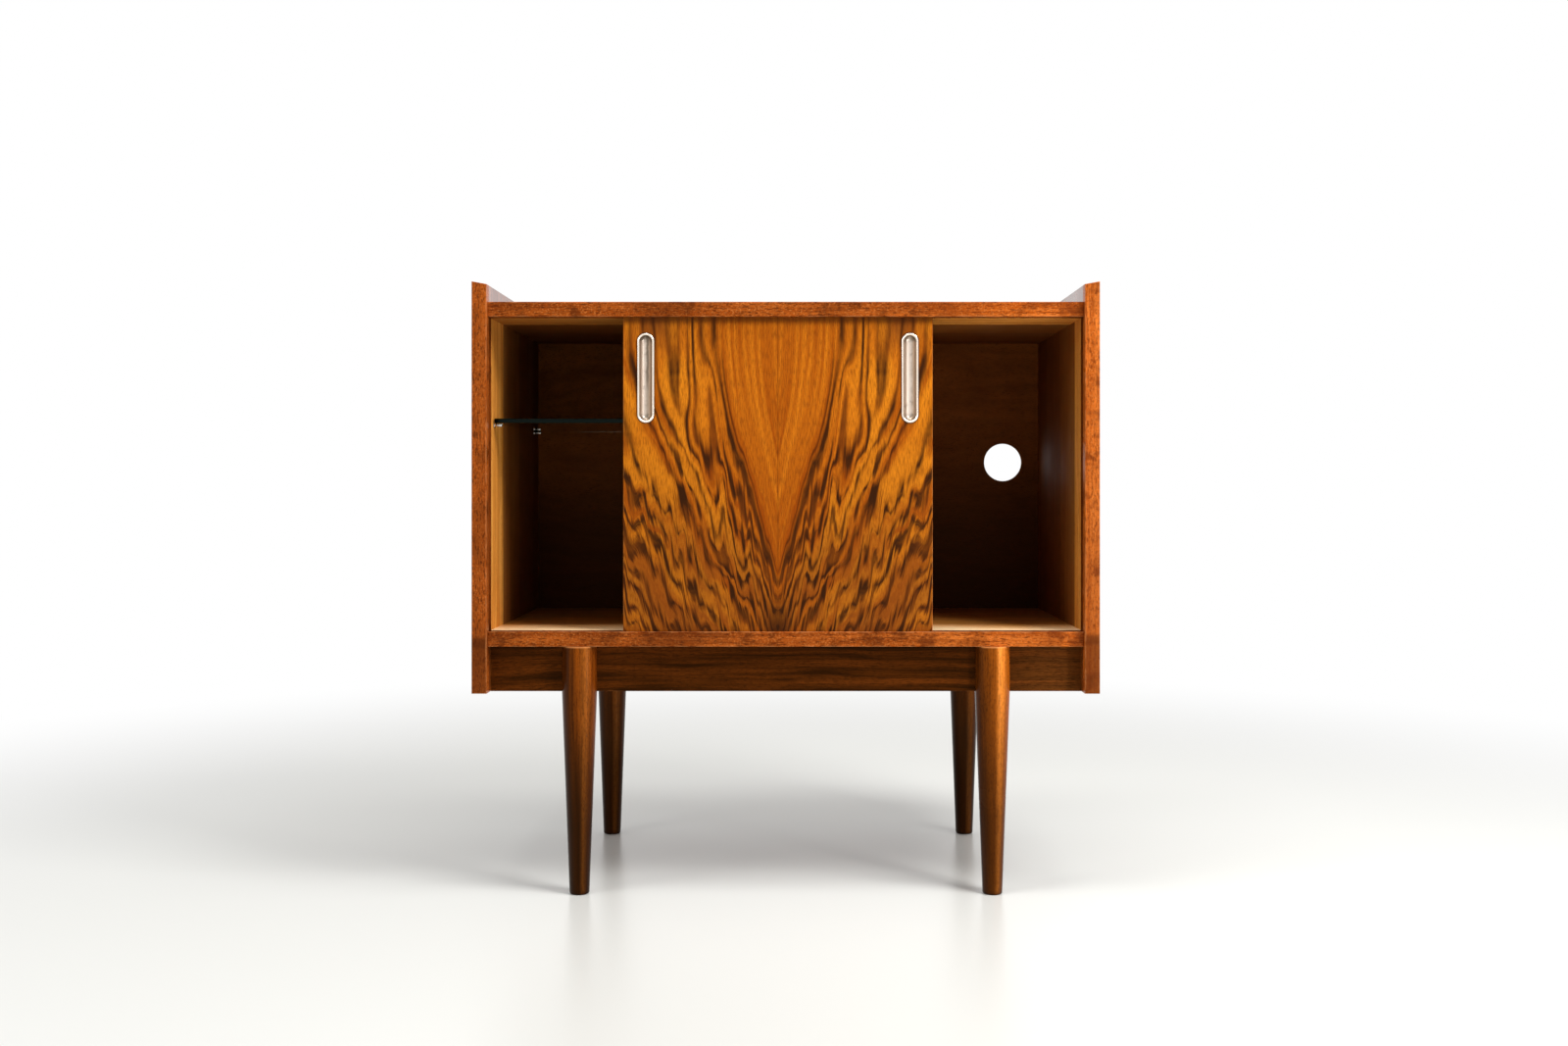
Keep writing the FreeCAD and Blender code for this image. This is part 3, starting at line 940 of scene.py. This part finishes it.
material, place = new_material("leg_wood")
wood = grain_of(place, ALONG_Z, bands=150, flecks=220, wander=0.02)
x, y, z = split(place)
up = step(wood["Cloud"] * 0.08 + z, *AMBER_FROM_Z)
dark = blend(up, (34, 11, 1), (96, 42, 5))
light = blend(up, (52, 21, 2), (148, 72, 12))
# painted light: the front right leg is painted lighter all over
painted_light_front_right = (x > 0) * (y < 0) * (up * 0.3 + 0.15)
radius = least(z * TAPER + FOOT_RADIUS, LEG_RADIUS)
side = (x - reckon("SIGN", x) * LEG_AXIS_X) / radius
side += (wood["Band"] - 0.5) * 0.3
# painted highlight: a golden gleam right of each leg's middle
painted_gleam_and_streak = (painted_light_front_right * 1.8 + 0.22) * step(abs(side - PAINTED_GLEAM_SIDE), 0, 0.4, 1, 0) * (up * 0.6 + 0.4)
uneven_z = noise(place, 90, detail=3) * (12 * MM) + z
colour = coats(
    banded(wood, dark, light),
    (painted_light_front_right, (186, 96, 20)),
    # painted shade: the rear legs are darker
    ((y > 0) * 0.4, (40, 14, 1)),
    # painted shade: the left flank of each leg is darker
    (step(side, -0.9, 0.3, 0.72, 0), (30, 11, 1)),
    (painted_gleam_and_streak, (242, 142, 52)),
    (step(wood["Line"], 0.48, 0.75, 0, 0.5), (48, 18, 3)),
    (wood["Pore"] * 0.3, (46, 16, 2)),
    (wood["Fleck"] * 0.5, (42, 14, 2)),
    # the feet darken towards the floor
    (step(uneven_z, 5 * MM, 14 * MM, 0.7, 0), (22, 8, 2)),
    # painted highlight: a pale band on the top arris
    (step(z, LEG_TOP_Z - 2.5 * MM, LEG_TOP_Z, 0, 0.5), (214, 144, 84)),
)
paint(material, {
    "Base Color": colour,
    "Roughness": step(wood["Cloud"], 0.3, 0.7, 0.18, 0.28),
    "Normal": bump(wood["Line"], 0.15 * MM, 0.3),
    **lacquer(0.13),
})

for name in ("front_left_leg", "front_right_leg", "rear_left_leg", "rear_right_leg"):
    low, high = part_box(name)
    shape = leg_shape(math.copysign(LEG_AXIS_X, low.x), (low.y + high.y) / 2)
    leg = new_piece(name + "_turned", shape, "carcass", material)
    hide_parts(name)

# %% [markdown]
# ## Recessed pulls
#
# Each pull is a pressed nickel cup with rounded ends: a bead round the rim, then a trough like half a
# pipe. Bevelling a cut-out would give the rim but not the trough. But every ring of the cup is the same
# outline at another distance from the middle line. So the halves of a circle are drawn apart, and each
# ring is extruded from the last one and moved to its place, from the back over the rim to the trough.

# %% Pull rings
PULL_RADIUS = 11 * MM
TROUGH_RADIUS = 7.9 * MM
TROUGH_DEPTH = 7.8 * MM
CUP_WALL = 1.1 * MM
BACK_ANGLES = (90, 70, 50, 30, 12, 0)
TROUGH_ANGLES = (0, 8, 18, 30, 42, 54, 66, 78, 90)
# Each point of the bead: how far in from the rim, and how far behind the door's face, in millimetres.
BEAD = ((0, 0.1), (0.05, -0.6), (0.45, -1.2), (1.1, -1.55), (1.7, -1.55), (2.35, -1.2), (2.85, -0.5))


def arc_rings(angles, radius, depth, start):
    """Rings of a half pipe, as (distance from the middle line, distance behind the door's face)."""
    turns = [math.radians(angle) for angle in angles]
    return [(radius * math.cos(turn), start + depth * math.sin(turn)) for turn in turns]


pull_rings = arc_rings(BACK_ANGLES, TROUGH_RADIUS + CUP_WALL, TROUGH_DEPTH + CUP_WALL, 0.2 * MM)
pull_rings += [(PULL_RADIUS - inset * MM, behind * MM) for inset, behind in BEAD]
pull_rings += arc_rings(TROUGH_ANGLES, TROUGH_RADIUS, TROUGH_DEPTH, 0.1 * MM)
print("pull rings:", len(pull_rings))

# %% [markdown]
# A new ring has to keep the order of the last one, so each new vertex is found as the one that an edge
# joins to its old vertex.

# %% Pull shape
PULL_SEGMENTS = 48


def next_ring(shape, ring, lines):
    """Extrudes a ring, and returns its new vertices in the old order, and its new edges."""
    grown = bmesh.ops.extrude_edge_only(shape, edges=lines)["geom"]
    lines = [part for part in grown if isinstance(part, bmesh.types.BMEdge)]
    lines = [line for line in lines if len(line.link_faces) == 1]
    fresh = {dot for line in lines for dot in line.verts}
    new_ring = []
    for dot in ring:
        joined = [line.other_vert(dot) for line in dot.link_edges]
        new_ring.append([other for other in joined if other in fresh][0])
    return new_ring, lines


def pull_shape(name):
    low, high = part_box(name)
    middle = (low + high) / 2
    half_straight = (high.z - low.z) / 2 - PULL_RADIUS
    shape = bmesh.new()
    upright = Matrix.Rotation(QUARTER_TURN, 4, "X") @ Matrix.Rotation(HALF_TURN / PULL_SEGMENTS, 4, "Z")
    bmesh.ops.create_circle(shape, segments=PULL_SEGMENTS, radius=1, matrix=upright)
    outward = [dot.co.copy() for dot in shape.verts]
    ring = list(shape.verts)
    lines = list(shape.edges)
    for number, (distance, behind) in enumerate(pull_rings):
        if number > 0:
            ring, lines = next_ring(shape, ring, lines)
        for dot, way in zip(ring, outward):
            spine_z = math.copysign(half_straight, way.z)
            dot.co = (way.x * distance, behind, spine_z + way.z * distance)
    bmesh.ops.remove_doubles(shape, verts=shape.verts, dist=SAME_PLACE)
    bmesh.ops.recalc_face_normals(shape, faces=shape.faces)
    bmesh.ops.translate(shape, vec=(middle.x, DOOR_FACE_Y, middle.z), verts=shape.verts)
    return shape


print("each ring has", PULL_SEGMENTS, "corners")

# %% [markdown]
# The nickel is polished on the bead, where fingers rub it, and duller in the trough. There tarnish
# gathers at the ends, and painted shade darkens the right-hand wall. On the left pull the painted shade
# reaches further across, and a dark line right of the middle is a painted reflection.

# %% Pulls
LEFT_MIDDLE, RIGHT_MIDDLE = [sum(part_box(name), Vector()) / 2 for name in PULLS]
PULL_Z = LEFT_MIDDLE.z
PAINTED_REFLECTION_SIDE = 0.2

material, place = new_material("pull_nickel")
x, y, z = split(place)
painted_gleam_and_streak = noise(turned(place, scale=(900, 900, 40)), detail=3)
stain = noise(place, 130, detail=3)
deep = step(y - DOOR_FACE_Y, -0.5 * MM, 2 * MM)
end = step(stain * (12 * MM) + abs(z - PULL_Z), 50 * MM, 62 * MM)
is_right = x > DOOR_MIDDLE
middle_x = is_right * (RIGHT_MIDDLE.x - LEFT_MIDDLE.x) + LEFT_MIDDLE.x
side = (x - middle_x) / TROUGH_RADIUS + (stain - 0.5) * 0.5
# painted reflection: a dark line right of the middle of the left trough
line = step(abs(side - PAINTED_REFLECTION_SIDE), 0.05, 0.3, 0.6, 0) * (1 - is_right)
line *= step(z, PULL_Z - 25 * MM, PULL_Z + 5 * MM)
colour = coats(
    blend(step(painted_gleam_and_streak, 0.35, 0.7), (250, 240, 226), (232, 220, 204)),
    (deep * 0.5, (222, 196, 180)),
    # painted shade down the right-hand wall of each trough, reaching further on the left pull
    (deep * step(is_right * -0.35 + side, -0.5, 0.35, 0, 0.75), (132, 112, 90)),
    (deep * line, (70, 58, 44)),
    (deep * end * 0.8, (84, 80, 70)),
    (deep * step(stain, 0.62, 0.74, 0, 0.25), (120, 104, 84)),
)
paint(material, {
    "Base Color": colour,
    "Roughness": deep * 0.18 + step(painted_gleam_and_streak, 0.3, 0.7, 0.12, 0.24),
    "Normal": bump(painted_gleam_and_streak, 0.02 * MM, 0.25),
    "Metallic": 1,
})

for name in PULLS:
    pull = new_piece(name + "_pressed", pull_shape(name), "door", material)
    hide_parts(name)

# %% [markdown]
# ## Glass shelf and its pins
#
# The shelf is float glass with ground edges. Clear glass looks green only where light travels far in
# it, as it does to an edge. Absorption could do that, but it is noisy in such thin glass, so the faces
# are almost clear and the edges are painted deep green and a little rough. Faint smears on the faces keep
# it from looking like air.

# %% Glass
low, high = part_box("glass_shelf")
material, place = new_material("shelf_glass")
x, y, z = split(place)
to_rim = least(x - low.x, high.x - x, y - low.y, high.y - y)
rim = step(to_rim, 0.9 * MM, 1.6 * MM, 1, 0)
smear = noise(turned(place, scale=(9, 16, 16)), detail=3)
clear = blend(step(smear, 0.4, 0.7), (236, 246, 240), (226, 240, 232))
green = blend(rubbed_of(place, low, high, 1.5 * MM) * 0.25, (3, 9, 6), (20, 40, 32))
paint(material, {
    "Base Color": blend(rim, clear, green),
    "Roughness": rim * 0.1 + step(smear, 0.45, 0.75, 0, 0.06),
    "Transmission Weight": 1,
    "IOR": 1.52,
    "Specular Tint": (110, 130, 120),
}, "glass_shelf")
print("shelf is", round((high.z - low.z) / MM, 1), "mm thick")

# %% [markdown]
# Four steel pins carry the shelf. Each has a collar that stops it at the wall, in the narrow gap beside
# the glass, and a rounded tip. One pin is spun upright, and its copies lie in the four holes.

# %% Shelf pins
PIN_RADIUS = 2.5 * MM
PIN_BURIED = 10 * MM
PIN_PROUD = 11 * MM
TIP_EASE = 1.2 * MM
COLLAR_RADIUS = 3.9 * MM
COLLAR_START = 0.05 * MM
COLLAR_END = 1.4 * MM
COLLAR_EASE = 0.4 * MM

steel, place = new_material("pin_steel")
scratch = noise(turned(place, scale=(300, 2500, 2500)), detail=3)
paint(steel, {
    "Base Color": blend(step(scratch, 0.35, 0.7), (220, 218, 212), (168, 164, 156)),
    "Roughness": step(scratch, 0.3, 0.7, 0.1, 0.22),
    "Normal": bump(scratch, 0.01 * MM, 0.25),
    "Metallic": 1,
})

profile = [(0, -PIN_BURIED), (PIN_RADIUS, -PIN_BURIED)]
profile += [(PIN_RADIUS, COLLAR_START), (COLLAR_RADIUS, COLLAR_START)]
profile += rounded_corner(COLLAR_RADIUS, COLLAR_END, COLLAR_EASE, -1)[::-1]
profile += [(PIN_RADIUS, COLLAR_END)]
profile += rounded_corner(PIN_RADIUS, PIN_PROUD, TIP_EASE, -1)[::-1] + [(0, PIN_PROUD)]
shape = spun(profile, steps=24)
bmesh.ops.recalc_face_normals(shape, faces=shape.faces)
pin = new_mesh("shelf_pin", shape)

low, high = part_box("shelf_pins")
pin_z = (low.z + high.z) / 2
places = []
for pin_y in (low.y + PIN_RADIUS, high.y - PIN_RADIUS):
    for mouth_x, way in ((low.x + PIN_BURIED, 1), (high.x - PIN_BURIED, -1)):
        lie_along_x = Matrix.Rotation(QUARTER_TURN * way, 4, "Y")
        places.append(Matrix.Translation((mouth_x, pin_y, pin_z)) @ lie_along_x)
pins = new_piece("shelf_pins_turned", copies(pin, places), "carcass", steel)
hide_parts("shelf_pins")

# %% [markdown]
# ## Screws
#
# Small slotted screws hold the back in its rebate, and larger ones go through the rails into the legs.
# A slot could be painted on, but the mesh would lack it. So one head is modelled: a low dome is spun, two
# cuts mark the slot, and the strip between them is extruded down, all but its ends, so that the head
# stays closed. Extruding in bmesh keeps the old faces, so they are deleted.

# %% Screw head
# Each point of the head: its share of the radius, and its share of the dome's height.
HEAD_PROFILE = ((0, -0.6), (1, -0.6), (1, 0), (0.93, 0.45), (0.7, 0.75), (0.35, 0.94), (0, 1))


def screw_head(radius, dome, slot_wide, slot_deep):
    """Mesh of a slotted head that looks along +Z, with its seat at Z = 0."""
    shape = spun([(wide * radius, high * dome) for wide, high in HEAD_PROFILE], steps=20)
    for side in (-1, 1):
        everything = shape.verts[:] + shape.edges[:] + shape.faces[:]
        cut = Vector((side * slot_wide / 2, 0, 0))
        bmesh.ops.bisect_plane(shape, geom=everything, plane_co=cut, plane_no=(1, 0, 0))
    strip = []
    for face in shape.faces:
        middle = face.calc_center_median()
        if abs(middle.x) < slot_wide / 2 and middle.z > dome / 2:
            strip.append(face)
    sunk = bmesh.ops.extrude_face_region(shape, geom=strip)["geom"]
    sunk_dots = [part for part in sunk if isinstance(part, bmesh.types.BMVert)]
    bmesh.ops.translate(shape, vec=(0, 0, -slot_deep), verts=sunk_dots)
    bmesh.ops.delete(shape, geom=strip, context="FACES")
    bmesh.ops.recalc_face_normals(shape, faces=shape.faces)
    return new_mesh("screw_head", shape)


small_head = screw_head(radius=3 * MM, dome=0.4 * MM, slot_wide=0.8 * MM, slot_deep=0.3 * MM)
large_head = screw_head(radius=4.5 * MM, dome=2 * MM, slot_wide=1.2 * MM, slot_deep=1.2 * MM)
print("a screw head has", len(small_head.polygons), "faces")

# %% [markdown]
# The back's screws sit in the middle of the rebate that carries it, and two more go into the partition.
# The rails' screws sit behind the legs, one above the other. An array would set them in even rows, but
# here the places are listed, and each slot is turned a little differently, as a screwdriver leaves it.

# %% Screws in place
IN_REBATE = 4.8 * MM
BACK_SCREW_XS = (-0.32, -0.16, 0, 0.16, 0.32)
SIDE_SCREW_ZS = (0.42, 0.54, 0.66)
PARTITION_SCREW_ZS = (0.46, 0.62)
RAIL_SCREW_ZS = (0.276, 0.303)
SLOT_TURN = 2.4


def set_screws(name, head, places, facing):
    face = Vector((0, 0, 1)).rotation_difference(Vector(facing)).to_matrix().to_4x4()
    matrices = []
    for number, place in enumerate(places):
        slot = Matrix.Rotation(SLOT_TURN * number, 4, "Z")
        matrices.append(Matrix.Translation(place) @ face @ slot)
    new_piece(name, copies(head, matrices), "carcass", steel)


low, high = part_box("back_panel")
places = [(x, REAR_Y, z) for x in BACK_SCREW_XS for z in (low.z + IN_REBATE, high.z - IN_REBATE)]
places += [(x, REAR_Y, z) for z in SIDE_SCREW_ZS for x in (low.x + IN_REBATE, high.x - IN_REBATE)]
places += [(0, REAR_Y, z) for z in PARTITION_SCREW_ZS]
set_screws("back_screws", small_head, places, (0, 1, 0))

for rail, facing in (("front_rail", 1), ("rear_rail", -1)):
    low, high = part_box(rail)
    rail_y = high.y if facing > 0 else low.y
    places = [(x, rail_y, z) for x in (-LEG_AXIS_X, LEG_AXIS_X) for z in RAIL_SCREW_ZS]
    set_screws(rail + "_screws", large_head, places, (0, facing, 0))

# %% [markdown]
# ## Floor
#
# The floor is plain and pale, with a little gloss, and it takes the cabinet's shadow. More light could
# turn it white, but would bleach the wood too. Instead it fades to white far from the cabinet, so that it
# runs into the white background without a line. That fade is only for what the camera and reflections
# see, and adds no light.

# %% Floor
FLOOR_HALF = 14
WHITE = (255, 255, 255)

shape = bmesh.new()
bmesh.ops.create_grid(shape, x_segments=1, y_segments=1, size=FLOOR_HALF)
floor = bpy.data.objects.new("floor", new_mesh("floor", shape))
scene.collection.objects.link(floor)


def seen_directly(tree):
    """1 for rays from the camera, a reflection or glass, and 0 for rays that gather light."""
    rays = wires(add_node(tree, "ShaderNodeLightPath"))
    return most(rays["Is Camera Ray"], rays["Is Glossy Ray"], rays["Is Transmission Ray"])


material, place = new_material("pale_floor")
tree = place.tree
far = length(place)
paint(material, {
    "Base Color": blend(step(far, 0.3, 1.8), (218, 218, 213), (224, 224, 219)),
    "Roughness": step(far, 0.3, 1.8, 0.28, 0.36),
})
fade = step(far, 0.7, 2.2) * seen_directly(tree)
lit = Wire(tree.nodes["Principled BSDF"].outputs[0])
white = Wire(add_node(tree, "ShaderNodeEmission", {"Color": WHITE, "Strength": 1}).outputs[0])
painted_light_and_white_fade = follow("ShaderNodeMixShader", {0: fade, 1: lit, 2: white})
feed(tree.nodes["Material Output"].inputs["Surface"], painted_light_and_white_fade)
floor.data.materials.append(material)
print("floor laid,", 2 * FLOOR_HALF, "m wide")

# %% [markdown]
# ## Light
#
# The room is white behind the cabinet and darker on the camera's side, so the front keeps its deep
# colour and the bays fall off into shadow. An even white room could light it all, but then no edge would
# catch a gleam and no bay would look deep.

# %% World
ROOM_LIGHT = 0.65
CAMERA_SIDE = 0.12

world = bpy.data.worlds.new("studio")
scene.world = world
world.use_nodes = True
room = world.node_tree
looking = wires(add_node(room, "ShaderNodeTexCoord"))["Generated"]
level = step(split(looking)[1], -0.75, 0.15, CAMERA_SIDE, ROOM_LIGHT)
backdrop = room.nodes["Background"].inputs
feed(backdrop["Color"], WHITE)
feed(backdrop["Strength"], most(level, seen_directly(room)))
print("room lit at", ROOM_LIGHT, "behind and", CAMERA_SIDE, "in front")

# %% [markdown]
# A softbox at the right and above is the main light, a weaker one at the left opens the shadows, and a
# third overhead draws the bright line on the cabinet's floor. A narrow upright lamp low at the right
# draws the gleam down the round legs. Each is placed by its angles, as a photographer would describe it.
# Azimuth 0 is in front of the cabinet, and 90 at its right.

# %% Lamps
# Each lamp: its name, azimuth, elevation, distance, size, power, and the height that it looks at.
LAMPS = (
    ("right_softbox", 54, 44, 2.2, (0.8, 1), 46, 0.5),
    ("left_softbox", -58, 26, 2.4, (0.8, 1.1), 9, 0.5),
    ("overhead_softbox", 10, 79, 2.2, (1.6, 0.5), 27, 0.5),
    ("low_strip", 48, 0, 1.3, (0.1, 0.5), 3, 0.29),
)
AIM_Y = -0.1

for name, azimuth, elevation, distance, size, power, aim_z in LAMPS:
    turn = math.radians(azimuth)
    rise = math.radians(elevation)
    ahead = math.cos(rise)
    way = Vector((math.sin(turn) * ahead, -math.cos(turn) * ahead, math.sin(rise)))
    data = bpy.data.lights.new(name, "AREA")
    data.shape = "RECTANGLE"
    data.size, data.size_y = size
    data.energy = power
    lamp = bpy.data.objects.new(name, data)
    lamp.location = Vector((0, AIM_Y, aim_z)) + way * distance
    lamp.rotation_euler = (-way).to_track_quat("-Z", "Y").to_euler()
    lamp.visible_camera = False
    scene.collection.objects.link(lamp)
    print(name, "stands at", [round(c, 2) for c in lamp.location])
